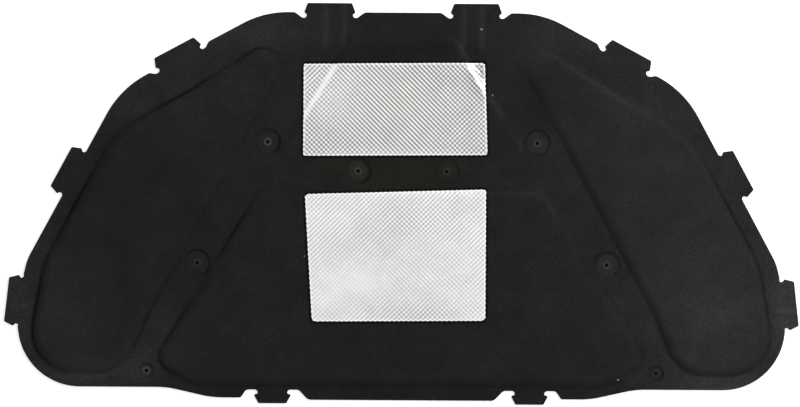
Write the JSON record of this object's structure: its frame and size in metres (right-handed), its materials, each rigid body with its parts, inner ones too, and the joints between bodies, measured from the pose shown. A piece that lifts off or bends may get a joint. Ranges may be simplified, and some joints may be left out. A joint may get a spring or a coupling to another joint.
{
  "type": "hood insulation pad",
  "caption": "Moulded black felt pad with raised fields, locking tabs along its edge, dished clip seats and embossed heat foils on its engine side.",
  "frame": {"origin": "middle of the pad's length and width, on the flat hood side", "axes": "+X to the right as the picture shows it, +Y to the front of the car, +Z from the hood to the engine"},
  "size_m": [1.2722, 0.6412, 0.016],
  "materials": {
    "needled_felt": "matt needled felt",
    "embossed_foil": "embossed diamond grid"
  },
  "bodies": {
    "root": {"felt_pad": "needled_felt", "front_heat_foil": "embossed_foil", "rear_heat_foil": "embossed_foil"}
  },
  "joints": []
}
